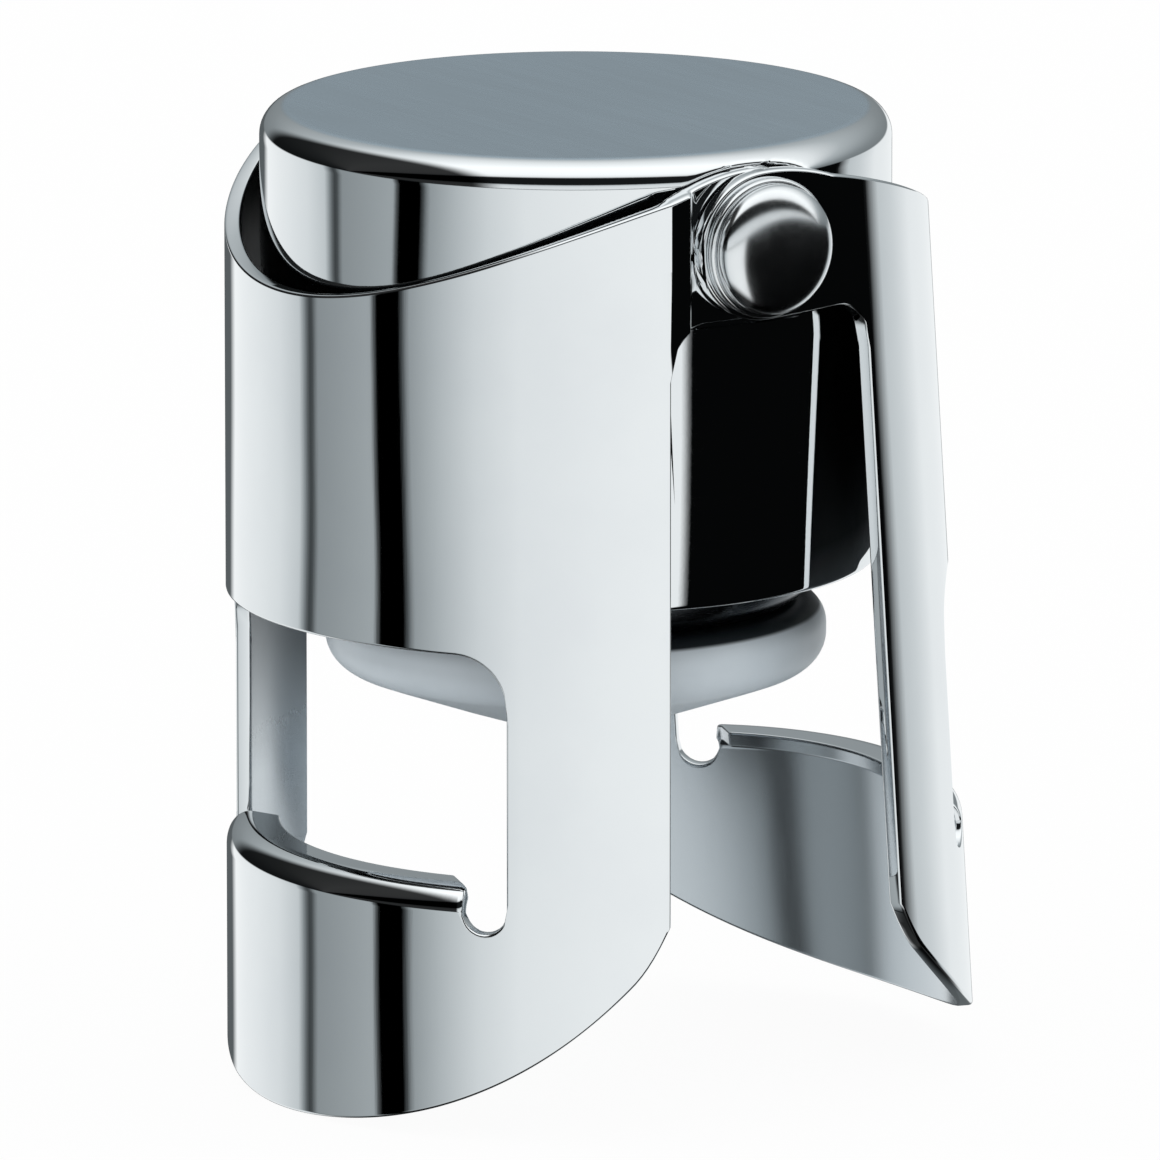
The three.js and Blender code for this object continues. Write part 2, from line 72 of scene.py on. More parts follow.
# Camera at the photograph's angle: a long lens from the left front, a little above
view = {
    "azimuth": -33.24,  # degrees round Z from looking along +Y
    "elevation": 12.02,
    "distance": 1.2,  # metres
    "lens": 606.24,
    "sensor": 36,
    "nearest": 0.05,  # metres
    "farthest": 20,
    "aimRight": 0.265 * mm,
    "aimHeight": 8.552 * mm,
}
turn = math.radians(view["azimuth"])
lift = math.radians(view["elevation"])
toRight = Vector((math.cos(turn), math.sin(turn), 0))
toCamera = Vector((math.sin(turn) * math.cos(lift), -math.cos(turn) * math.cos(lift), math.sin(lift)))
toFront = Vector((math.sin(turn), -math.cos(turn), 0))


def addCamera():
    data = bpy.data.cameras.new("photo_camera")
    data.lens = view["lens"]
    data.sensor_width = view["sensor"]
    data.sensor_fit = "HORIZONTAL"
    data.clip_start = view["nearest"]
    data.clip_end = view["farthest"]
    camera = addObject("photo_camera", data)
    aim = toRight * view["aimRight"] + Vector((0, 0, view["aimHeight"]))
    axes = Matrix((toRight, toCamera.cross(toRight), toCamera)).transposed()
    camera.matrix_world = Matrix.Translation(aim + toCamera * view["distance"]) @ axes.to_4x4()
    scene.camera = camera


addCamera()
print("stage: camera")


# Adds nodes to a tree: each input is a plain value, or the socket that feeds it
def nodeMaker(tree):
    def make(kind, inputs=None, **settings):
        node = tree.nodes.new(kind)
        for key, value in settings.items():
            setattr(node, key, value)
        for key, value in (inputs or {}).items():
            if isinstance(value, bpy.types.NodeSocket):
                tree.links.new(value, node.inputs[key])
            else:
                node.inputs[key].default_value = value
        return node

    return make


def newMaterial(name):
    material = bpy.data.materials.new(name)
    material.use_nodes = True
    material.node_tree.nodes.clear()
    return material, nodeMaker(material.node_tree)


def rgba(colour):
    return (*colour, 1)


def arithmetic(make, operation, *values):
    return make("ShaderNodeMath", dict(enumerate(values)), operation=operation).outputs[0]


# Moves a value from one range to another
def ranged(make, value, low, high, toLow=0.0, toHigh=1.0, ease="LINEAR"):
    limits = {"Value": value, "From Min": low, "From Max": high, "To Min": toLow, "To Max": toHigh}
    return make("ShaderNodeMapRange", limits, interpolation_type=ease).outputs[0]


def mixedColour(make, share, low, high):
    return make("ShaderNodeMix", {0: share, 6: low, 7: high}, data_type="RGBA").outputs[2]


def mixedValue(make, share, low, high):
    return make("ShaderNodeMix", {0: share, 2: low, 3: high}, data_type="FLOAT").outputs[0]


def noise(make, place, scale, detail, rough=0.5):
    inputs = {"Vector": place, "Scale": scale, "Detail": detail, "Roughness": rough}
    return make("ShaderNodeTexNoise", inputs).outputs["Fac"]


def fillRamp(ramp, stops):
    while len(ramp.elements) > 1:
        ramp.elements.remove(ramp.elements[-1])
    for index, (position, colour) in enumerate(stops):
        element = ramp.elements[0] if index == 0 else ramp.elements.new(position)
        element.position = position
        element.color = rgba(colour)


# Studio: a white set with dark flags, seen only in the chrome
studio = {
    "floorGap": 0.02 * mm,
    "floorSide": 6.0,  # metres
    "floorColour": (0.9, 0.9, 0.9, 1),
    "floorWhite": 0.95,  # share of plain white that the camera sees, the rest keeps the shadow
    "darkTint": (0.985, 1.12, 1.18),  # of the dark parts
    "lightTint": (1.02, 1.04, 1.045),
    # brightness round the table, by degrees to the right of the camera
    "ring": [
        (-180, 0.1), (-159, 0.11), (-152, 1.0), (-129, 0.9), (-115, 0.81), (-104, 0.64), (-101.5, 0.3),
        (-99, 0.05), (-97, 0.08), (-94.5, 0.3), (-85, 0.34), (-70.4, 0.41), (-68.4, 0.0), (-58.6, 0.0),
        (-57, 0.12), (-55.4, 0.34), (-45, 0.52), (-32, 0.74), (-18, 0.88), (8, 0.95), (28, 0.98), (39.5, 0.96),
        (43, 0.002), (111, 0.002), (118, 0.62), (126, 0.7), (140, 0.92), (171, 0.92), (176, 0.12),
    ],
    # brightness overhead, by degrees from the far horizon over the top to the near horizon
    "sky": [
        (0, 0.22), (12, 0.27), (20, 0.33), (40, 0.5), (62, 0.88), (94, 1.25), (122, 1.15), (131, 0.95),
        (136, 0.01), (162, 0.01), (165, 0.6), (170, 0.8), (180, 0.85),
    ],
    "horizon": (-0.045, -0.012),
    "flag": (-0.62, -0.42),  # a black flag shades the sky on the left
    "pit": (-0.87, -0.64),  # straight down it is dark
    "dim": 0.03,
}


# The studio's white is a little cool, most of all in its dark parts
def tinted(value):
    share = min(value, 1)
    return [value * (dark + (light - dark) * share) for dark, light in zip(studio["darkTint"], studio["lightTint"])]


def addWorld():
    world = bpy.data.worlds.new("studio")
    scene.world = world
    world.use_nodes = True
    world.node_tree.nodes.clear()
    make = nodeMaker(world.node_tree)
    coordinates = make("ShaderNodeTexCoord").outputs["Generated"]
    direction = make("ShaderNodeVectorMath", {0: coordinates}, operation="NORMALIZE").outputs[0]

    def along(axis):
        return make("ShaderNodeVectorMath", {0: direction, 1: tuple(axis)}, operation="DOT_PRODUCT").outputs["Value"]

    def rampOver(angle, stops, lowest, highest):
        share = ranged(make, angle, math.radians(lowest), math.radians(highest))
        ramp = make("ShaderNodeValToRGB", {"Fac": share})
        span = highest - lowest
        fillRamp(ramp.color_ramp, [((degrees - lowest) / span, tinted(value)) for degrees, value in stops])
        return ramp.outputs["Color"]

    def shaded(colour, value, lowest, highest):
        share = ranged(make, value, lowest, highest, studio["dim"], ease="SMOOTHSTEP")
        return make("ShaderNodeVectorMath", {0: colour, "Scale": share}, operation="SCALE").outputs[0]

    rightwards, frontwards, upwards = along(toRight), along(toFront), along((0, 0, 1))
    around = arithmetic(make, "ARCTAN2", rightwards, frontwards)
    over = arithmetic(make, "ARCTAN2", upwards, arithmetic(make, "MULTIPLY", frontwards, -1.0))
    ring = shaded(rampOver(around, studio["ring"], -180, 180), upwards, *studio["pit"])
    sky = shaded(rampOver(over, studio["sky"], 0, 180), rightwards, *studio["flag"])
    above = ranged(make, upwards, *studio["horizon"])
    path = make("ShaderNodeLightPath").outputs
    plain = arithmetic(make, "MAXIMUM", path["Is Camera Ray"], path["Is Diffuse Ray"])
    seen = mixedColour(make, plain, mixedColour(make, above, ring, sky), plainWhite)
    background = make("ShaderNodeBackground", {"Color": seen, "Strength": 1.0})
    make("ShaderNodeOutputWorld", {"Surface": background.outputs[0]})


# The camera sees the floor as white with the stopper's shadow, and the chrome doesn't see it
def addFloor():
    material, make = newMaterial("pale_floor")
    path = make("ShaderNodeLightPath").outputs
    paper = make("ShaderNodeBsdfDiffuse", {"Color": studio["floorColour"]}).outputs[0]
    white = make("ShaderNodeEmission", {"Color": plainWhite, "Strength": 1.0}).outputs[0]
    clear = make("ShaderNodeBsdfTransparent").outputs[0]
    share = arithmetic(make, "MULTIPLY", path["Is Camera Ray"], studio["floorWhite"])
    lit = make("ShaderNodeMixShader", {0: share, 1: paper, 2: white}).outputs[0]
    shown = make("ShaderNodeMixShader", {0: path["Is Glossy Ray"], 1: lit, 2: clear}).outputs[0]
    make("ShaderNodeOutputMaterial", {"Surface": shown})
    side = studio["floorSide"] / 2
    height = cadBox[0][2] - studio["floorGap"]
    corners = [(side * x, side * y, height) for x, y in ((-1, -1), (1, -1), (1, 1), (-1, 1))]
    mesh = bpy.data.meshes.new("floor")
    mesh.from_pydata(corners, [], [(0, 1, 2, 3)])
    mesh.materials.append(material)
    floor = addObject("floor", mesh)
    floor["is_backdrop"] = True


addWorld()
addFloor()
print("stage: studio")

# What lies inside the effects that the finishes share
effect = {
    "lineDetail": 3.0, "lineRough": 0.6, "wideShare": 0.23, "wideDetail": 2.0, "linesFrom": 0.12, "linesTo": 0.42,
    "hazeDetail": 4.0, "hazeRough": 0.55, "hazeFrom": 0.42, "hazeTo": 0.72, "waveDetail": 0.5,
}


def effectGroup(name, inputs, outputs):
    group = bpy.data.node_groups.new(name, "ShaderNodeTree")
    for label, value in inputs.items():
        kind = "NodeSocketVector" if isinstance(value, tuple) else "NodeSocketFloat"
        group.interface.new_socket(label, in_out="INPUT", socket_type=kind).default_value = value
    for label in outputs:
        group.interface.new_socket(label, in_out="OUTPUT", socket_type="NodeSocketFloat")
    make = nodeMaker(group)
    return group, make, make("NodeGroupInput").outputs


# Fine lines left by the brush or the polishing wheel, drawn out along one direction
def brushedLines():
    inputs = {"Vector": (0, 0, 0), "Stretch": (1, 1, 1), "Scale": 4000.0}
    group, make, given = effectGroup("brushed_lines", inputs, ["Lines", "Height"])
    drawn = make("ShaderNodeVectorMath", {0: given["Vector"], 1: given["Stretch"]}, operation="MULTIPLY").outputs[0]
    wideScale = arithmetic(make, "MULTIPLY", given["Scale"], effect["wideShare"])
    fine = noise(make, drawn, given["Scale"], effect["lineDetail"], effect["lineRough"])
    both = arithmetic(make, "MULTIPLY", fine, noise(make, drawn, wideScale, effect["wideDetail"]))
    lines = ranged(make, both, effect["linesFrom"], effect["linesTo"])
    make("NodeGroupOutput", {"Lines": lines, "Height": both})
    return group


# Faint hazy patches, where the plating has been handled
def softHaze():
    group, make, given = effectGroup("soft_haze", {"Vector": (0, 0, 0), "Scale": 90.0}, ["Haze"])
    cloud = noise(make, given["Vector"], given["Scale"], effect["hazeDetail"], effect["hazeRough"])
    make("NodeGroupOutput", {"Haze": ranged(make, cloud, effect["hazeFrom"], effect["hazeTo"])})
    return group


# Slow unevenness of a pressed sheet, which bends its reflections
def pressedWaves():
    group, make, given = effectGroup("pressed_waves", {"Vector": (0, 0, 0), "Scale": 45.0}, ["Height"])
    make("NodeGroupOutput", {"Height": noise(make, given["Vector"], given["Scale"], effect["waveDetail"])})
    return group


linesGroup = brushedLines()
hazeGroup = softHaze()
wavesGroup = pressedWaves()


# An effect in a material, with the material's own values
def placed(make, group, place, scale, **others):
    return make("ShaderNodeGroup", {"Vector": place, "Scale": scale, **others}, node_tree=group).outputs


def byHeight(make, place, heights, ease="LINEAR"):
    height = make("ShaderNodeSeparateXYZ", {0: place}).outputs["Z"]
    return ranged(make, height, heights[0] * mm, heights[1] * mm, ease=ease)


# The top is softly brushed, up to its rim
def satinTop(make, look, place, lines, colour, rough):
    satin = byHeight(make, place, look["satinHeights"], "SMOOTHSTEP")
    topRough = ranged(make, lines, 0.0, 1.0, *look["satinRough"])
    return mixedColour(make, satin, colour, rgba(look["satinColour"])), mixedValue(make, satin, rough, topRough)


# The polishing wheel doesn't reach the inner walls, least of all high up, so they are rougher there; their colour is
# painted shade, darkening to near black high up where the cap and the upper band shade them
def dullAndShadedInside(make, look, place, colour, rough):
    inside = make("ShaderNodeAttribute", attribute_name="inside").outputs["Fac"]
    depth = byHeight(make, place, look["insideShadeHeights"])
    shadedDull = mixedColour(make, depth, rgba(look["insideShadeLow"]), rgba(look["insideShadeHigh"]))
    dullRough = mixedValue(make, depth, *look["insideRough"])
    return mixedColour(make, inside, colour, shadedDull), arithmetic(make, "MULTIPLY_ADD", inside, dullRough, rough)


# The last nodes of a material: its fine relief, its shader and its output
def finishMaterial(make, look, height, inputs, under=None):
    relief = {"Height": height, "Strength": look["bump"], "Distance": look["bumpDepth"] * mm}
    if under:
        relief["Normal"] = under
    bump = make("ShaderNodeBump", relief).outputs[0]
    principled = make("ShaderNodeBsdfPrincipled", {**inputs, "Normal": bump})
    make("ShaderNodeOutputMaterial", {"Surface": principled.outputs[0]})


# Plated or bare metal: colour and roughness vary a little with the lines and the haze
def metal(name, look):
    material, make = newMaterial(name)
    place = make("ShaderNodeTexCoord").outputs["Object"]
    lines = placed(make, linesGroup, place, look["lineScale"], Stretch=look["stretch"])
    haze = placed(make, hazeGroup, place, look["hazeScale"])["Haze"]
    waves = placed(make, wavesGroup, place, look["waveScale"])
    colour = mixedColour(make, haze, rgba(look["colour"]), rgba(look["hazeColour"]))
    lineRough = ranged(make, lines["Lines"], 0.0, 1.0, *look["lineRough"])
    rough = arithmetic(make, "MULTIPLY_ADD", haze, look["hazeRough"], lineRough)
    if "satinHeights" in look:
        colour, rough = satinTop(make, look, place, lines["Lines"], colour, rough)
    # Painted shade on the inner walls, by height
    if "insideShadeHeights" in look:
        colour, rough = dullAndShadedInside(make, look, place, colour, rough)
    pressed = make("ShaderNodeBump", {"Height": waves["Height"], "Strength": 1.0, "Distance": look["waveDepth"] * mm})
    inputs = {"Base Color": colour, "Roughness": rough, "Metallic": 1.0}
    finishMaterial(make, look, lines["Height"], inputs, pressed.outputs[0])
    return material


wingFinish = {
    "colour": (0.8, 0.82, 0.83), "hazeColour": (0.77, 0.79, 0.805), "stretch": (1.0, 1.0, 0.06),
    "lineScale": 4200.0, "hazeScale": 95.0, "lineRough": (0.012, 0.035), "hazeRough": 0.012,
    # The inner walls' colours and heights here are painted shade, near black high up
    "insideShadeLow": (0.56, 0.6, 0.63), "insideShadeHigh": (0.012, 0.014, 0.016), "insideShadeHeights": (-5.0, 12.0),
    "insideRough": (0.2, 0.5), "waveScale": 45.0, "waveDepth": 0.35, "bump": 0.05, "bumpDepth": 0.02,
}
capFinish = {
    "colour": (0.79, 0.81, 0.82), "hazeColour": (0.76, 0.785, 0.8), "stretch": (1.0, 0.05, 1.0),
    "lineScale": 3800.0, "hazeScale": 80.0, "lineRough": (0.012, 0.035), "hazeRough": 0.012,
    "satinHeights": (38.2, 38.29), "satinRough": (0.25, 0.29), "satinColour": (0.62, 0.73, 0.82),
    "waveScale": 50.0, "waveDepth": 0.25, "bump": 0.04, "bumpDepth": 0.02,
}
# The bell's chrome gets a near-black colour: painted shade for the shadowed gap inside the cap's mouth
shadedBellFinish = {
    "colour": (0.1, 0.11, 0.12), "hazeColour": (0.07, 0.078, 0.086), "stretch": (0.08, 0.08, 1.0),
    "lineScale": 4200.0, "hazeScale": 110.0, "lineRough": (0.2, 0.3), "hazeRough": 0.05,
    "waveScale": 60.0, "waveDepth": 0.2, "bump": 0.06, "bumpDepth": 0.02,
}
rivetFinish = {
    "colour": (0.78, 0.8, 0.81), "hazeColour": (0.74, 0.76, 0.775), "stretch": (1.0, 1.0, 1.0),
    "lineScale": 2600.0, "hazeScale": 240.0, "lineRough": (0.13, 0.17), "hazeRough": 0.02,
    "waveScale": 160.0, "waveDepth": 0.02, "bump": 0.015, "bumpDepth": 0.01,
}
steelFinish = {
    "colour": (0.6, 0.62, 0.64), "hazeColour": (0.5, 0.52, 0.54), "stretch": (1.0, 1.0, 0.1),
    "lineScale": 2400.0, "hazeScale": 150.0, "lineRough": (0.26, 0.42), "hazeRough": 0.06,
    "waveScale": 80.0, "waveDepth": 0.1, "bump": 0.15, "bumpDepth": 0.03,
}
springFinish = {
    "colour": (0.5, 0.51, 0.53), "hazeColour": (0.4, 0.41, 0.42), "stretch": (0.1, 0.1, 1.0),
    "lineScale": 2600.0, "hazeScale": 220.0, "lineRough": (0.24, 0.38), "hazeRough": 0.08,
    "waveScale": 200.0, "waveDepth": 0.02, "bump": 0.15, "bumpDepth": 0.03,
}
sealFinish = {
    # The upper face's near-black colour and its heights are painted shade under the cap's rim
    "colour": (0.62, 0.69, 0.74), "speckle": (0.57, 0.64, 0.69), "paintedShadeColour": (0.012, 0.017, 0.021),
    "paintedShadeHeights": (6.95, 7.2), "grain": 5200.0, "grainDetail": 3.0, "grainRough": (0.34, 0.5), "haze": 140.0,
    "bump": 0.12, "bumpDepth": 0.03,
}


# Moulded rubber: fine even grain; its upper face is painted near black, painted shade under the cap's rim
def rubber(name, look):
    material, make = newMaterial(name)
    place = make("ShaderNodeTexCoord").outputs["Object"]
    grain = noise(make, place, look["grain"], look["grainDetail"])
    haze = placed(make, hazeGroup, place, look["haze"])["Haze"]
    body = mixedColour(make, haze, rgba(look["colour"]), rgba(look["speckle"]))
    # Painted shade: the rubber turns near black above the given heights
    top = byHeight(make, place, look["paintedShadeHeights"], "SMOOTHSTEP")
    colour = mixedColour(make, top, body, rgba(look["paintedShadeColour"]))
    rough = ranged(make, grain, 0.0, 1.0, *look["grainRough"])
    finishMaterial(make, look, grain, {"Base Color": colour, "Roughness": rough})
    return material


capChrome = metal("cap_chrome", capFinish)
wingChrome = metal("wing_chrome", wingFinish)
# Chrome whose colour is darkened as painted shade
shadedBellChrome = metal("bell_chrome", shadedBellFinish)
rivetChrome = metal("rivet_chrome", rivetFinish)
innerSteel = metal("inner_steel", steelFinish)
springSteel = metal("spring_steel", springFinish)
sealRubber = rubber("seal_rubber", sealFinish)
print("stage: finishes")

# What the meshes share, in millimetres where nothing else is said
meshing = {
    "supportGap": 0.12,
    "longRun": 5,  # in support gaps
    "pole": 1e-6,  # a point with a smaller radius lies on the axis
    "merge": 1e-7,  # metres
    "sharpFrom": 35,  # degrees
}


# A path whose corners are rounded: each corner is (across, up, fillet radius)
def rounded(corners, steps):
    path = []
    count = len(corners)
    closed = corners[0][:2] == corners[-1][:2]
    for index, (across, up, fillet) in enumerate(corners):
        here = Vector((across, up))
        inside = 0 < index < count - 1
        if not fillet or not (inside or closed):
            path.append(here)
            continue
        before = (Vector(corners[index - 1 if index else -2][:2]) - here).normalized()
        after = (Vector(corners[index + 1 if index < count - 1 else 1][:2]) - here).normalized()
        half = math.acos(max(-1, min(1, before.dot(after)))) / 2
        reach = fillet / math.tan(half)
        centre = here + (before + after).normalized() * (fillet / math.sin(half))
        start = here + before * reach - centre
        end = here + after * reach - centre
        sweep = math.atan2(start.x * end.y - start.y * end.x, start.dot(end))
        for step in range(steps + 1):
            angle = sweep * step / steps
            cosine, sine = math.cos(angle), math.sin(angle)
            path.append(centre + Vector((start.x * cosine - start.y * sine, start.x * sine + start.y * cosine)))
    return path


# Points close to the ends of long straight runs keep the shading of the roundings off them
def supported(path):
    gap = meshing["supportGap"]
    result = [path[0]]
    for here, following in zip(path, path[1:]):
        length = (following - here).length
        if length > meshing["longRun"] * gap:
            result.append(here.lerp(following, gap / length))
            result.append(here.lerp(following, 1 - gap / length))
        result.append(following)
    return result


def smoothShaded(mesh, sharpFrom=meshing["sharpFrom"]):
    mesh.polygons.foreach_set("use_smooth", [True] * len(mesh.polygons))
    mesh.set_sharp_from_angle(angle=math.radians(sharpFrom))
    mesh.update()
    return mesh


def meshFrom(shape, name):
    mesh = bpy.data.meshes.new(name)
    shape.to_mesh(mesh)
    shape.free()
    return mesh


# Turns a path of (radius, height) about Z
def spun(name, path, sides):
    points, faces, rows = [], [], []
    for point in supported(path):
        if point.x < meshing["pole"]:
            rows.append([len(points)] * sides)
            points.append((0, 0, point.y * mm))
            continue
        rows.append(list(range(len(points), len(points) + sides)))
        for side in range(sides):
            angle = 2 * math.pi * side / sides
            points.append((point.x * math.cos(angle) * mm, point.x * math.sin(angle) * mm, point.y * mm))
    for lower, upper in zip(rows, rows[1:]):
        for side in range(sides):
            after = (side + 1) % sides
            corners = [lower[side], lower[after], upper[after], upper[side]]
            face = [c for i, c in enumerate(corners) if c != corners[i - 1]]
            if len(set(face)) > 2:
                faces.append(face)
    mesh = bpy.data.meshes.new(name)
    mesh.from_pydata(points, [], faces)
    shape = bmesh.new()
    shape.from_mesh(mesh)
    bmesh.ops.remove_doubles(shape, verts=shape.verts, dist=meshing["merge"])
    bmesh.ops.recalc_face_normals(shape, faces=shape.faces)
    shape.to_mesh(mesh)
    shape.free()
    return smoothShaded(mesh)


# A rounded profile turned as finely as the piece's own dictionary says
def turned(name, corners, sizes):
    return spun(name, rounded(corners, sizes["steps"]), sizes["sides"])


# A flat ring with eased edges
def washerMesh(name, sizes):
    hole, radius, low = sizes["hole"], sizes["radius"], sizes["bottom"]
    high = low + sizes["thickness"]
    corners = [
        (hole, low, sizes["holeEdge"]), (radius, low, sizes["lowerEdge"]), (radius, high, sizes["upperEdge"]),
        (hole, high, sizes["holeEdge"]), (hole, low, sizes["holeEdge"]),
    ]
    return turned(name, corners, sizes)


# The result of an object's modifiers as a plain mesh on the same object
def bakedModifiers(piece):
    bpy.context.view_layer.update()
    graph = bpy.context.evaluated_depsgraph_get()
    mesh = bpy.data.meshes.new_from_object(piece.evaluated_get(graph))
    piece.modifiers.clear()
    piece.data = mesh
    mesh.name = piece.name
    return piece


def addModifier(piece, name, kind, **settings):
    modifier = piece.modifiers.new(name, kind)
    for key, value in settings.items():
        setattr(modifier, key, value)
    return modifier


# Takes a piece or its mesh, whose name the piece then gets
def addPiece(shape, material, body, slotName, *nodes):
    piece = shape if isinstance(shape, bpy.types.Object) else addObject(shape.name, shape)
    piece.data.materials.clear()
    piece.data.materials.append(material)
    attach(piece, body)
    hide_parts(*nodes)
    return piece


hinge = {"height": 32.8, "pinRadius": 2.0, "slip": 0.1, "boreReach": 24, "boreSides": 96}
boreRadius = hinge["pinRadius"] + hinge["slip"]
hingePlace = Matrix.Translation((0, 0, hinge["height"] * mm))


# Cuts the rivets' bore through both sides of a turned piece
def bored(mesh):
    reach = hinge["boreReach"]
    path = [Vector(point) for point in ((0, -reach), (boreRadius, -reach), (boreRadius, reach), (0, reach))]
    cutter = spun("cutter", path, hinge["boreSides"])
    cutter.transform(hingePlace @ Matrix.Rotation(math.pi / 2, 4, "X"))
    piece = addObject(mesh.name, mesh)
    tool = addObject("cutter", cutter)
    addModifier(piece, "bore", "BOOLEAN", operation="DIFFERENCE", solver="EXACT", object=tool)
    bakedModifiers(piece)
    bpy.data.objects.remove(tool)
    smoothShaded(piece.data)
    return piece


cap = {
    "radius": 19.35, "top": 38.3, "wall": 0.9, "rim": 1.8, "flatDepth": 0.45, "flatFrom": 27.8,
    "flatStep": 0.06, "taperFrom": 29.4, "innerEase": 90.0, "outerEase": 30.0, "mouthRadius": 18.5, "bottom": 10.35,
    "lip": 0.3, "steps": 14, "sides": 256,
}


def capMesh():
    outer, mouth, wall, lip, rim = cap["radius"], cap["mouthRadius"], cap["wall"], cap["lip"], cap["rim"]
    top, bottom, taper, flat, step = cap["top"], cap["bottom"], cap["taperFrom"], cap["flatFrom"], cap["flatStep"]
    inner, ceiling = outer - wall, top - wall
    slope = (outer - mouth) / (taper - bottom)
    atFlat = outer - slope * (taper - flat)
    corners = [
        (0, ceiling, 0), (inner, ceiling, rim - wall), (inner, taper, cap["innerEase"]), (mouth - wall, bottom, lip),
        (mouth, bottom, lip), (atFlat, flat, 0), (atFlat + slope * step, flat + step, 0),
        (outer, taper, cap["outerEase"]), (outer, top, rim), (0, top, 0),
    ]
    mesh = turned("cap_shell_dressed", corners, cap)
    limit = (outer - cap["flatDepth"]) * mm
    low = (flat + step / 2) * mm
    for vertex in mesh.vertices:  # flats where the ears lie
        if vertex.co.z > low and abs(vertex.co.y) > limit:
            vertex.co.y = math.copysign(limit, vertex.co.y)
    return smoothShaded(mesh)


addPiece(bored(capMesh()), capChrome, "cap", "cap_chrome", "cap_shell")

collar = {
    "outer": 18.35, "inner": 17.55, "lipRadius": 13.98, "bottom": 29.4, "lipTop": 30.0, "top": 35.5,
    "edge": 0.15, "lipFillet": 0.4, "steps": 4, "sides": 160,
}


def collarMesh():
    outer, inner, lip, edge = collar["outer"], collar["inner"], collar["lipRadius"], collar["edge"]
    bottom, lipTop, top = collar["bottom"], collar["lipTop"], collar["top"]
    corners = [
        (lip, bottom, edge), (outer, bottom, edge), (outer, top, edge), (inner, top, edge),
        (inner, lipTop, collar["lipFillet"]), (lip, lipTop, edge), (lip, bottom, edge),
    ]
    return turned("collar_dressed", corners, collar)


addPiece(bored(collarMesh()), innerSteel, "cap", "inner_steel", "collar")

springSeat = {
    "radius": 11.6, "top": 37.34, "thickness": 0.8, "edge": 0.2, "boss": 2.2, "bossRadius": 7.47, "bossEdge": 0.5,
    "bossFillet": 0.3, "steps": 5, "sides": 128,
}


def springSeatMesh():
    radius, boss, top, edge = springSeat["radius"], springSeat["bossRadius"], springSeat["top"], springSeat["edge"]
    face = top - springSeat["thickness"]
    bossFace = face - springSeat["boss"]
    corners = [
        (0, bossFace, 0), (boss, bossFace, springSeat["bossEdge"]), (boss, face, springSeat["bossFillet"]),
        (radius, face, edge), (radius, top, edge), (0, top, 0),
    ]
    return turned("spring_seat_dressed", corners, springSeat)


addPiece(springSeatMesh(), innerSteel, "cap", "inner_steel", "spring_seat")
print("stage: cap")

rivet = {
    "headBase": 21.59, "headRadius": 4.0, "headSide": 0.3, "headEdge": 0.12, "dome": 1.2, "fullness": 2.7,
    "tailRadius": 2.7, "tailTop": 17.28, "tail": 0.8, "tailEdge": 0.3, "tailFillet": 0.1,
    "domeSteps": 32, "steps": 5, "sides": 96,
}


def rivetMesh():
    head, pin, tail = rivet["headRadius"], hinge["pinRadius"], rivet["tailRadius"]
    base, tailTop = rivet["headBase"], rivet["tailTop"]
    sideTop, tailEnd = base + rivet["headSide"], tailTop - rivet["tail"]
    corners = [
        (0, tailEnd, 0), (tail, tailEnd, rivet["tailEdge"]), (tail, tailTop, rivet["tailFillet"]), (pin, tailTop, 0),
        (pin, base, 0), (head, base, rivet["headEdge"]), (head, sideTop, 0),
    ]
    path = rounded(corners, rivet["steps"])
    fullness, steps = 2 / rivet["fullness"], rivet["domeSteps"]
    for step in range(1, steps + 1):  # flat in the middle, rounded at the edge
        angle = math.pi / 2 * (1 - step / steps)
        across = head * math.sin(angle) ** fullness
        path.append(Vector((across, sideTop + rivet["dome"] * math.cos(angle) ** fullness)))
    return spun("rivet_shape", path, rivet["sides"])


hingeWasher = {
    "hole": boreRadius, "radius": 4.3, "bottom": 21.08, "thickness": 0.45,
    "holeEdge": 0.05, "lowerEdge": 0.18, "upperEdge": 0.22, "steps": 5, "sides": 96,
}


# Copies a shape made along Z to both ends of the hinge axis
def hingePairTree():
    tree = bpy.data.node_groups.new("hinge_pair", "GeometryNodeTree")
    inputs = {"Geometry": "NodeSocketGeometry", "Hinge Height": "NodeSocketFloat", "Finish": "NodeSocketMaterial"}
    for label, kind in inputs.items():
        tree.interface.new_socket(label, in_out="INPUT", socket_type=kind)
    tree.interface.new_socket("Geometry", in_out="OUTPUT", socket_type="NodeSocketGeometry")
    make = nodeMaker(tree)
    given = make("NodeGroupInput").outputs
    place = make("ShaderNodeCombineXYZ", {"Z": given["Hinge Height"]}).outputs[0]
    ends = make("GeometryNodeMeshLine", {"Count": 2, "Start Location": place, "Offset": (0, 0, 0)}).outputs[0]
    halfTurns = arithmetic(make, "MULTIPLY", make("GeometryNodeInputIndex").outputs[0], math.pi)
    angles = make("ShaderNodeCombineXYZ", {"X": math.pi / 2, "Z": halfTurns}).outputs[0]
    rotation = make("FunctionNodeEulerToRotation", {0: angles}).outputs[0]
    copies = make(
        "GeometryNodeInstanceOnPoints",
        {"Points": ends, "Instance": given["Geometry"], "Rotation": rotation},
    )
    real = make("GeometryNodeRealizeInstances", {0: copies.outputs[0]})
    painted = make("GeometryNodeSetMaterial", {"Geometry": real.outputs[0], "Material": given["Finish"]})
    make("NodeGroupOutput", {0: painted.outputs[0]})
    return tree


pairTree = hingePairTree()


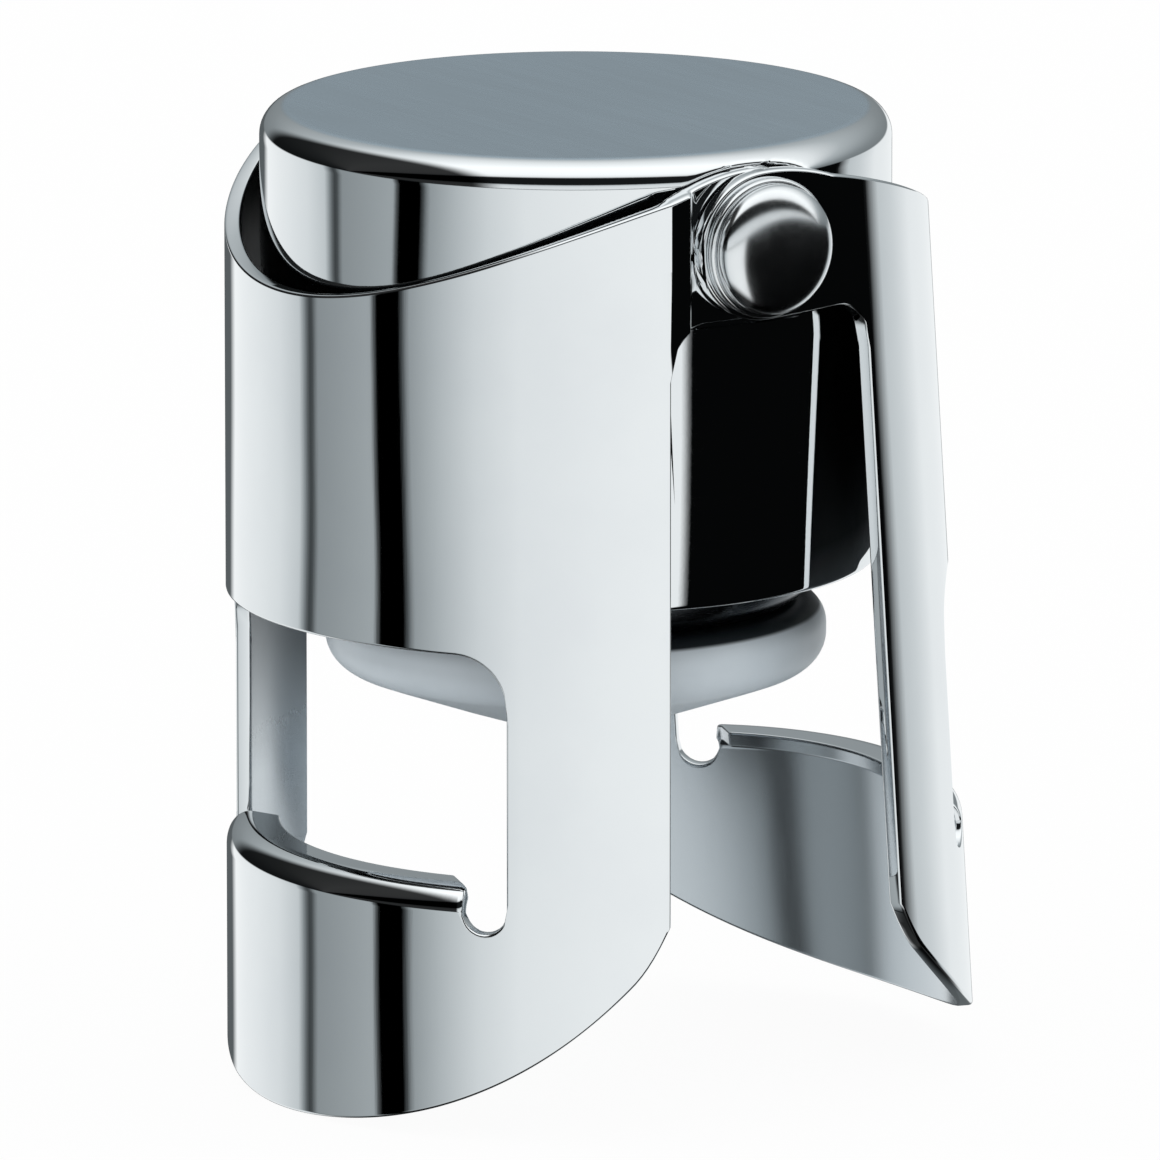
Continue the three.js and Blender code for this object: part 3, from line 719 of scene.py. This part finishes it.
def pairOf(name, mesh):
    piece = addObject(name, mesh)
    copier = addModifier(piece, "hinge_pair", "NODES", node_group=pairTree)
    values = {"Hinge Height": hinge["height"] * mm, "Finish": rivetChrome}
    for item in pairTree.interface.items_tree:
        if item.in_out == "INPUT" and item.name in values:
            copier[item.identifier] = values[item.name]
    return bakedModifiers(piece)


rivets = pairOf("hinge_rivets", rivetMesh())
addPiece(rivets, rivetChrome, "cap", "rivet_chrome", "front_rivet", "back_rivet")
washers = pairOf("hinge_washers", washerMesh("washer_shape", hingeWasher))
addPiece(washers, rivetChrome, "cap", "rivet_chrome", "front_washer", "back_washer")
print("stage: rivets")

# Heights are counted from the hinge axis, and reach is the distance sideways from it
wing = {
    "sheet": 1.0, "radius": 21.5, "innerGap": 6.5, "outerGap": 7.7, "opening": 4.0,
    "earFace": 18.96, "earLayer": 1.06, "earRadius": 4.7, "earDrop": 4.5, "earFillet": 3.0, "earBends": (2.1, 3.1),
    "shoulderReach": 5.0, "shoulderRise": 3.7, "crestDrop": 3.7, "topSag": 0.4,
    "bandDrop": 24.6, "windowAngle": 44.5, "windowCorner": 3.4,
    "hookAngle": 52.0, "hookDrop": 39.0, "hookReach": 3.3, "hookBend": 1.7, "hookTaper": 0.13, "hookEdge": 0.3,
    "notchDrop": 41.8, "cornerDrop": 42.6, "cornerReach": 2.2, "cornerLift": 1.2,
    "toeDrop": 54.7, "bottomSag": 0.46, "edgeRound": 0.2, "edgeSteps": 3, "earEase": 0.3,
    "creaseSpace": 0.12, "stepFrom": 4.78, "stepTo": 5.15, "stepGap": 0.03,
    # how finely the sheet is divided
    "tipColumns": 20, "earColumns": 24, "bendColumns": 14, "cornerColumns": 6, "notchColumns": 16, "windowColumns": 10,
    "leastTurn": 0.2, "middleRow": 0.61, "hookRows": 12,
    "merge": 2e-6,  # metres
    "sharpFrom": 60, "roundFrom": 40,  # degrees
}
sameAngle = 1e-6


def topEdge(reach):
    ear, shoulder, rise = wing["earRadius"], wing["shoulderReach"], wing["shoulderRise"]
    if reach <= 0:
        return math.sqrt(max(ear ** 2 - reach ** 2, 0))
    if reach < shoulder:
        return ear - (ear - rise) * (reach / shoulder) ** 2
    share = (reach - shoulder) / (wing["radius"] - shoulder)
    sagged = share - wing["topSag"] * share * (1 - share)
    return rise - (rise + wing["crestDrop"]) * sagged


def bottomEdge(reach, gap):
    share = (reach - wing["innerGap"]) / (wing["radius"] - wing["innerGap"])
    sagged = share + wing["bottomSag"] * share * (1 - share)
    corner = max(1 - (reach - gap) / wing["cornerReach"], 0)
    return -wing["cornerDrop"] - (wing["toeDrop"] - wing["cornerDrop"]) * sagged + wing["cornerLift"] * corner ** 2


def earLow(reach, gap):
    drop, fillet = wing["earDrop"], wing["earFillet"]
    if reach <= 0:
        return -drop * math.sqrt(max(1 - (reach / wing["earRadius"]) ** 2, 0))
    past = max(reach - (gap - fillet), 0)
    return -drop - fillet + math.sqrt(max(fillet ** 2 - past ** 2, 0))


def arcLength(degrees):
    return math.radians(abs(degrees)) * wing["radius"]


def windowTop(angle):
    corner = wing["windowCorner"]
    left = max(corner - arcLength(max(angle - wing["windowAngle"], 0)), 0)
    return -wing["bandDrop"] - corner + math.sqrt(max(corner ** 2 - left ** 2, 0))


def notchEdge(angle):
    half = arcLength(wing["hookAngle"] - wing["windowAngle"]) / 2
    offset = arcLength(angle - (wing["hookAngle"] + wing["windowAngle"]) / 2)
    return -wing["notchDrop"] + half - math.sqrt(max(half ** 2 - offset ** 2, 0))


# Angles of the columns round the band, close together where an outline turns
def bandAngles(gap):
    window, hook = wing["windowAngle"], wing["hookAngle"]
    edge = math.degrees(math.asin(gap / wing["radius"]))
    cornerTurn = math.degrees(wing["cornerReach"] / wing["radius"])
    windowTurn = math.degrees(wing["windowCorner"] / wing["radius"])
    steps = wing["cornerColumns"]
    angles = [edge + cornerTurn * i / steps for i in range(steps + 1)]
    start = edge + cornerTurn
    steps = round(window - start)
    angles += [start + (window - start) * i / steps for i in range(1, steps + 1)]
    steps = wing["notchColumns"]
    angles += [window + (hook - window) * (1 - math.cos(math.pi * i / steps)) / 2 for i in range(1, steps + 1)]
    steps = wing["windowColumns"]
    angles += [window + windowTurn * (1 - math.cos(math.pi / 2 * i / steps)) for i in range(1, steps + 1)]
    steps = round(90 - hook)
    angles += [hook + (90 - hook) * i / steps for i in range(1, steps)]
    angles.sort()
    kept = []
    for angle in angles:
        close = kept and angle - kept[-1] < wing["leastTurn"]
        if close and angle not in (window, hook):
            continue
        if close:
            kept.pop()
        kept.append(angle)
    return kept


# A column has its reach, place in plan and way out; only the band's columns have an angle
def newColumn(reach, place, out, gap, angle=None):
    return {"reach": reach, "place": Vector(place), "out": Vector(out), "gap": gap, "angle": angle}


# Columns of one side, from the ear's tip to the far side
def sideColumns(gap, layer):
    face = wing["earFace"] + layer * wing["earLayer"] + wing["sheet"]
    flat = gap - wing["earBends"][layer]
    radius = wing["radius"]
    columns = []
    steps = wing["tipColumns"]
    for i in range(steps):
        across = wing["earRadius"] * math.cos(math.pi / 2 * i / steps)
        columns.append(newColumn(-across, (across, -face), (0, -1), gap))
    steps = wing["earColumns"]
    for i in range(steps + 1):
        columns.append(newColumn(flat * i / steps, (-flat * i / steps, -face), (0, -1), gap))
    band = []
    for angle in bandAngles(gap):
        out = Vector((-math.sin(math.radians(angle)), -math.cos(math.radians(angle))))
        band.append(newColumn(-radius * out.x, radius * out, out, gap, angle))
    start, end = columns[-1]["place"], band[0]["place"]
    ease = wing["earEase"]
    slope = (end.y - start.y) / (1 - ease / 2)
    steps = wing["bendColumns"]
    for i in range(1, steps):  # the ear bends off softly, then runs straight to a crease at the band
        share = i / steps
        rise = share ** 2 / (2 * ease) if share < ease else share - ease / 2
        place = (start.x + (end.x - start.x) * share, start.y + slope * rise)
        out = Vector((-slope * min(share / ease, 1), end.x - start.x)).normalized()
        columns.append(newColumn(flat + (gap - flat) * share, place, out, gap))
    crease = math.acos(min(columns[-1]["out"].dot(band[0]["out"]), 1))
    clear = wing["sheet"] * math.tan(crease / 2) + wing["creaseSpace"]  # the inner wall is tight there
    return [column for column in columns + band if column is band[0] or (column["place"] - end).length > clear]


# One row of heights for a column: foot, notch or hook, window, ear's foot, bore and top edge
def columnHeights(column):
    reach, gap, angle = column["reach"], column["gap"], column["angle"]
    high = topEdge(reach)
    if angle is None:
        bore = math.sqrt(max(boreRadius ** 2 - reach ** 2, 0))
        return [None, None, None, earLow(reach, gap), -bore, bore, high]
    earFoot = -wing["earDrop"] - wing["earFillet"]
    middle = earFoot + (high - earFoot) * wing["middleRow"]
    if angle < wing["windowAngle"] + sameAngle:
        opening = -wing["notchDrop"] + arcLength(wing["hookAngle"] - wing["windowAngle"]) / 2
        window = -wing["bandDrop"] - wing["windowCorner"]
    elif angle < wing["hookAngle"] - sameAngle:
        opening, window = notchEdge(angle), windowTop(angle)
    else:
        opening, window = -wing["hookDrop"] - wing["hookBend"], windowTop(angle)
    return [bottomEdge(reach, gap), opening, window, earFoot, middle, middle, high]


# The hook flange above the foot of a column, if there is one: it narrows a little inwards
def hookCorners(column, corner):
    if column["angle"] is None or column["angle"] <= wing["hookAngle"] - sameAngle:
        return []
    bend, top, steps = wing["hookBend"], -wing["hookDrop"], wing["hookRows"]
    rows = []
    for i in range(1, steps + 1):
        angle = math.pi / 2 * i / steps
        rows.append((bend * (1 - math.cos(angle)), top - bend + bend * math.sin(angle)))
    rows += [(wing["hookReach"] - wing["hookEdge"], top), (wing["hookReach"], top)]
    side = 1 if column["place"].y > 0 else -1
    corners = []
    for inwards, height in rows:
        past = max(inwards - wing["sheet"], 0) / (wing["hookReach"] - wing["sheet"])
        angle = math.radians((90 - column["angle"]) * (1 - wing["hookTaper"] * past))
        radius = wing["radius"] - inwards
        corners.append(corner(-radius * math.cos(angle), side * radius * math.sin(angle), height))
    return corners


# The wing's outer face, and the columns that it was made from
def wingMesh(name):
    front, back = sideColumns(wing["innerGap"], 0), sideColumns(wing["outerGap"], 1)
    for column in back:
        column["place"].y *= -1
        column["out"].y *= -1
    far = newColumn(wing["radius"], (-wing["radius"], 0), (-1, 0), wing["innerGap"], 90)
    columns = front + [far] + back[::-1]
    shape = bmesh.new()

    def corner(x, y, z):
        return shape.verts.new((x * mm, y * mm, z * mm))

    def quad(*corners):
        if None not in corners:
            shape.faces.new(corners)

    grid = []
    for column in columns:
        plan = column["place"]
        row = [None if height is None else corner(plan.x, plan.y, height) for height in columnHeights(column)]
        grid.append((column["angle"], row, hookCorners(column, corner)))
    for (left, low, leftHook), (right, high, rightHook) in zip(grid, grid[1:]):
        spans = [(0, 1), (2, 3), (3, 4), (5, 6)]
        if None not in (left, right) and max(left, right) < wing["windowAngle"] + sameAngle:
            spans.append((1, 2))
        for bottom, top in spans:
            quad(low[bottom], low[top], high[top], high[bottom])
        if leftHook and rightHook:
            leftLine, rightLine = [low[1]] + leftHook, [high[1]] + rightHook
            for i in range(len(leftHook)):
                quad(leftLine[i], leftLine[i + 1], rightLine[i + 1], rightLine[i])
    bmesh.ops.remove_doubles(shape, verts=shape.verts, dist=wing["merge"])
    shape.normal_update()
    farSide = min(shape.faces, key=lambda face: face.calc_center_median().x)
    bmesh.ops.recalc_face_normals(shape, faces=shape.faces)
    if farSide.normal.x > 0:
        bmesh.ops.reverse_faces(shape, faces=shape.faces)
    return meshFrom(shape, name), columns


# Beside the other wing's ear, the inner ear's face steps out to the band's edge: (depth, slope) at a reach
def earStep(reach):
    face = wing["earFace"] + wing["sheet"]
    edge = math.sqrt(wing["radius"] ** 2 - wing["innerGap"] ** 2)
    share = min(max((reach - wing["stepFrom"]) / (wing["stepTo"] - wing["stepFrom"]), 0), 1)
    height = edge - wing["stepGap"] - face
    slope = height * 6 * share * (1 - share) / (wing["stepTo"] - wing["stepFrom"])
    past = max(reach - wing["stepTo"], 0) / (wing["innerGap"] - wing["stepTo"])
    return face + height * share ** 2 * (3 - 2 * share) + wing["stepGap"] * past, slope


def stepEar(mesh, columns):
    ahead = [column for column in columns if column["place"].y < 0]
    ear = [column for column in ahead if column["angle"] is None and column["place"].x < 0]
    ear += [column for column in ahead if column["angle"]][:1]
    for vertex in mesh.vertices:
        x, y = vertex.co.x / mm, vertex.co.y / mm
        if y > 0 or not wing["stepFrom"] < -x < wing["innerGap"]:
            continue
        after = next(i for i, column in enumerate(ear) if -column["place"].x >= -x)
        before, beyond = ear[after - 1]["place"], ear[after]["place"]
        plain = before.y + (beyond.y - before.y) * (x - before.x) / (beyond.x - before.x)
        depth = min(max((y - plain) / wing["sheet"], 0), 1)
        vertex.co.y = (y + (-earStep(-x)[0] - plain) * (1 - depth)) * mm
    mesh.update()


# Way out of an ear's sheet at a point, on its outer or its inner wall
def earOut(point, depth, columns):
    gaps = [(column["place"] - column["out"] * depth - point).length for column in columns]
    nearest = min(range(len(gaps)), key=gaps.__getitem__)
    other = min([i for i in (nearest - 1, nearest + 1) if 0 <= i < len(gaps)], key=gaps.__getitem__)
    share = gaps[nearest] / max(gaps[nearest] + gaps[other], 1e-9)
    return columns[nearest]["out"].lerp(columns[other]["out"], share).normalized()


# Where the outer and the inner wall turn from ear to band, by side
def creasePlaces(columns):
    creases = {}
    for before, after in zip(columns, columns[1:]):
        if (before["angle"] is None) != (after["angle"] is None):
            ear, band = (before, after) if before["angle"] is None else (after, before)
            halfway = (ear["out"] + band["out"]).normalized()
            inwards = halfway * (wing["sheet"] / halfway.dot(band["out"]))
            creases[band["place"].y > 0] = (band["place"].x, (band["place"] - inwards).x)
    return creases


# How the faces of the finished sheet are told apart, by the Z or the outward part of their normals
walls = {
    "levelFrom": 0.9995,
    "insideFrom": -0.5,
    "uprightTo": 0.004,
    "facingFrom": 0.8,
    "followFrom": 0.9,  # a bend's own direction is used where the face agrees with it this much
    "creaseClear": 0.03,  # mm
}


# The walls are shaded as the smooth bends that they stand for, and the roundings start from them
def smoothWalls(mesh, columns):
    ears = {side: [c for c in columns if c["angle"] is None and (c["place"].y > 0) == side] for side in (False, True)}
    creases = creasePlaces(columns)
    known = {}
    normals = [Vector(corner.vector) for corner in mesh.corner_normals]
    # Marks the inner wall faces, which the wing material darkens with painted shade
    inside = mesh.attributes.new("inside", "FLOAT", "FACE")
    for face in mesh.polygons:
        if abs(face.normal.z) > walls["levelFrom"]:
            for index in face.vertices:
                known[index] = Vector((0, 0, math.copysign(1, face.normal.z)))
            continue
        middle = Vector(face.center[:2]) / mm
        flat = Vector(face.normal[:2])
        towards = flat.dot(middle.normalized())
        if towards < walls["insideFrom"]:
            inside.data[face.index].value = 1
        if abs(face.normal.z) > walls["uprightTo"] or abs(towards) < walls["facingFrom"]:
            continue
        inner = towards < 0
        crease = creases[middle.y > 0][inner]
        for index, loop in zip(face.vertices, face.loop_indices):
            point = Vector(mesh.vertices[index].co[:2]) / mm
            if middle.x < crease:
                out = point.normalized()
            elif middle.y < 0 and not inner and -point.x > wing["stepFrom"]:
                out = Vector((earStep(-point.x)[1], -1)).normalized()
            else:
                out = earOut(point, wing["sheet"] if inner else 0, ears[middle.y > 0])
            if abs(out.dot(flat)) < walls["followFrom"]:
                continue
            out = Vector((*(out * (-1 if inner else 1)), 0))
            if abs(point.x - crease) > walls["creaseClear"]:
                known[index] = out
            normals[loop] = out
    for loop in mesh.loops:
        if loop.vertex_index in known:
            normals[loop.index] = known[loop.vertex_index]
    mesh.normals_split_custom_set(normals)


# The bent and pierced sheet gets its thickness and rounded edges here
def wingPiece(name, place):
    mesh, columns = wingMesh(name)
    piece = addObject(name, smoothShaded(mesh, wing["sharpFrom"]))
    addModifier(piece, "sheet", "SOLIDIFY", thickness=wing["sheet"] * mm, offset=-1, use_even_offset=True)
    addModifier(
        piece, "edges", "BEVEL", width=wing["edgeRound"] * mm, segments=wing["edgeSteps"], limit_method="ANGLE",
        angle_limit=math.radians(wing["roundFrom"]), use_clamp_overlap=False,
    )
    addModifier(piece, "normals", "WEIGHTED_NORMAL", keep_sharp=False)
    bakedModifiers(piece)
    stepEar(piece.data, columns)
    smoothWalls(piece.data, columns)
    piece.data.transform(place)
    return piece


opened = Matrix.Rotation(-math.radians(wing["opening"]), 4, "Y")
halfTurn = Matrix.Rotation(math.pi, 4, "Z")
leftWing = wingPiece("left_wing_dressed", hingePlace)
addPiece(leftWing, wingChrome, "left_wing", "wing_chrome", "left_wing")
rightWing = wingPiece("right_wing_dressed", hingePlace @ opened @ halfTurn)
addPiece(rightWing, wingChrome, "right_wing", "wing_chrome", "right_wing")
print("stage: wings")

bell = {
    "base": 7.76, "bottomRadius": 14.5, "topRadius": 13.3, "wall": 0.8, "corner": 1.5, "hole": 2.1,
    "rimBottom": 30.06, "rimThickness": 0.8, "rimRadius": 14.98, "rimEdge": 0.2, "rimFillet": 0.5,
    "steps": 12, "sides": 224,
}


def bellMesh():
    hole, foot, top, rim = bell["hole"], bell["bottomRadius"], bell["topRadius"], bell["rimRadius"]
    wall, corner, edge = bell["wall"], bell["corner"], bell["rimEdge"]
    base, rimBase = bell["base"], bell["rimBottom"]
    rimTop = rimBase + bell["rimThickness"]
    corners = [
        (hole, base, 0), (foot, base, corner), (top, rimBase, bell["rimFillet"]), (rim, rimBase, edge),
        (rim, rimTop, edge), (top - wall, rimTop, edge), (foot - wall, base + wall, corner - wall),
        (hole, base + wall, 0), (hole, base, 0),
    ]
    return turned("bell_dressed", corners, bell)


addPiece(bellMesh(), shadedBellChrome, "plunger", "bell_chrome", "bell")
print("stage: bell")

seal = {
    "thickness": 7.7, "radius": 15.4, "topCorner": 1.7, "side": 0.5, "sideEnd": 0.05, "lowerCorner": 2.2,
    "lowerTurn": 66, "coneSag": 0.19, "coneFillet": 2.5, "plugRadius": 8.1, "plugHeight": 1.3, "plugFillet": 4,
    "tipRadius": 4.3, "tipFillet": 2.5, "cover": 2.9, "hollowTop": 4.4, "footRadius": 4.7, "hole": 2.1,
    "plugSteps": 10, "lowerSteps": 16, "upperSteps": 12, "sides": 192,
}


# The seal has a hollow for the stem's foot
def sealMesh():
    radius, lower, hole, foot = seal["radius"], seal["lowerCorner"], seal["hole"], seal["footRadius"]
    top, hollow, cover = seal["thickness"], seal["hollowTop"], seal["cover"]
    rimTop = top - seal["topCorner"]
    rimBottom = rimTop - seal["side"]
    fullTurn = math.radians(seal["lowerTurn"])
    middle = radius - lower
    across, up = middle + lower * math.cos(fullTurn), rimBottom - lower * math.sin(fullTurn)
    plug = [
        (0, 0, 0), (seal["tipRadius"], 0, seal["tipFillet"]),
        (seal["plugRadius"], seal["plugHeight"], seal["plugFillet"]),
        (across - lower / 2, up - lower * seal["coneSag"], seal["coneFillet"]), (across, up, 0),
    ]
    path = rounded(plug, seal["plugSteps"])
    steps = seal["lowerSteps"]
    for step in range(1, steps + 1):
        angle = fullTurn * (1 - step / steps)
        path.append(Vector((middle + lower * math.cos(angle), rimBottom - lower * math.sin(angle))))
    upper = [
        (radius, rimTop - seal["sideEnd"], 0), (radius, top, seal["topCorner"]), (hole, top, 0),
        (hole, hollow, 0), (foot, hollow, 0), (foot, cover, 0), (0, cover, 0),
    ]
    return spun("seal_dressed", path + rounded(upper, seal["upperSteps"]), seal["sides"])


addPiece(sealMesh(), sealRubber, "plunger", "seal_rubber", "seal")
print("stage: seal")

stem = {
    "cover": 3.0, "footRadius": 4.6, "footTop": 4.3, "footEdge": 0.3, "radius": 2.0, "rootFillet": 0.2,
    "headBottom": 9.48, "headRadius": 3.4, "headThickness": 1.4, "headEdge": 0.2, "headSlope": 0.5,
    "shoulderFillet": 0.4, "topFillet": 0.8, "steps": 5, "sides": 96,
}


def stemMesh():
    foot, radius, head, edge = stem["footRadius"], stem["radius"], stem["headRadius"], stem["footEdge"]
    cover, footTop, headBase = stem["cover"], stem["footTop"], stem["headBottom"]
    top = headBase + stem["headThickness"]
    corners = [
        (0, cover, 0), (foot, cover, edge), (foot, footTop, edge), (radius, footTop, stem["rootFillet"]),
        (radius, headBase, 0), (head, headBase, stem["headEdge"]),
        (head, top - stem["headSlope"], stem["shoulderFillet"]), (head / 2, top, stem["topFillet"]), (0, top, 0),
    ]
    return turned("stem_dressed", corners, stem)


stemWasher = {
    "hole": 2.1, "radius": 5.4, "bottom": 8.62, "thickness": 0.8,
    "holeEdge": 0.1, "lowerEdge": 0.2, "upperEdge": 0.2, "steps": 4, "sides": 96,
}

addPiece(stemMesh(), innerSteel, "plunger", "inner_steel", "stem")
addPiece(washerMesh("stem_washer_dressed", stemWasher), innerSteel, "plunger", "inner_steel", "stem_washer")
print("stage: stem")

spring = {
    "radius": 9.0, "wire": 1.6, "lowest": 9.48, "highest": 35.62, "curls": 7, "curlSteps": 32, "wireSides": 12,
    "fixedEnd": 36.36, "travel": 6.4,
}


# A coil of round wire, closed at both ends
def springMesh():
    shape = bmesh.new()
    wireRadius = spring["wire"] / 2
    steps, sides = spring["curls"] * spring["curlSteps"], spring["wireSides"]
    rings = []
    for i in range(steps + 1):
        heading = 2 * math.pi * i / spring["curlSteps"]
        height = spring["lowest"] + (spring["highest"] - spring["lowest"]) * i / steps
        ring = []
        for j in range(sides):
            angle = 2 * math.pi * j / sides
            radius = spring["radius"] + wireRadius * math.cos(angle)
            up = height + wireRadius * math.sin(angle)
            ring.append(shape.verts.new(Vector((math.cos(heading) * radius, math.sin(heading) * radius, up)) * mm))
        rings.append(ring)
    for low, high in zip(rings, rings[1:]):
        for j in range(sides):
            shape.faces.new((low[j], high[j], high[j - 1], low[j - 1]))
    shape.faces.new(rings[0])
    shape.faces.new(rings[-1][::-1])
    bmesh.ops.recalc_face_normals(shape, faces=shape.faces)
    return smoothShaded(meshFrom(shape, "spring_dressed"))


# The spring gets a mesh of its own; on the stopper, pressing the seal flattens the spring towards its upper end
springPiece = addPiece(springMesh(), springSteel, "cap", "spring_steel", "spring")
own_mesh(springPiece)
print("stage: spring")

{name: [[float(v) for v in corner] for corner in box] for name, box in (("cad", cadBox), ("visual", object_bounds()))}
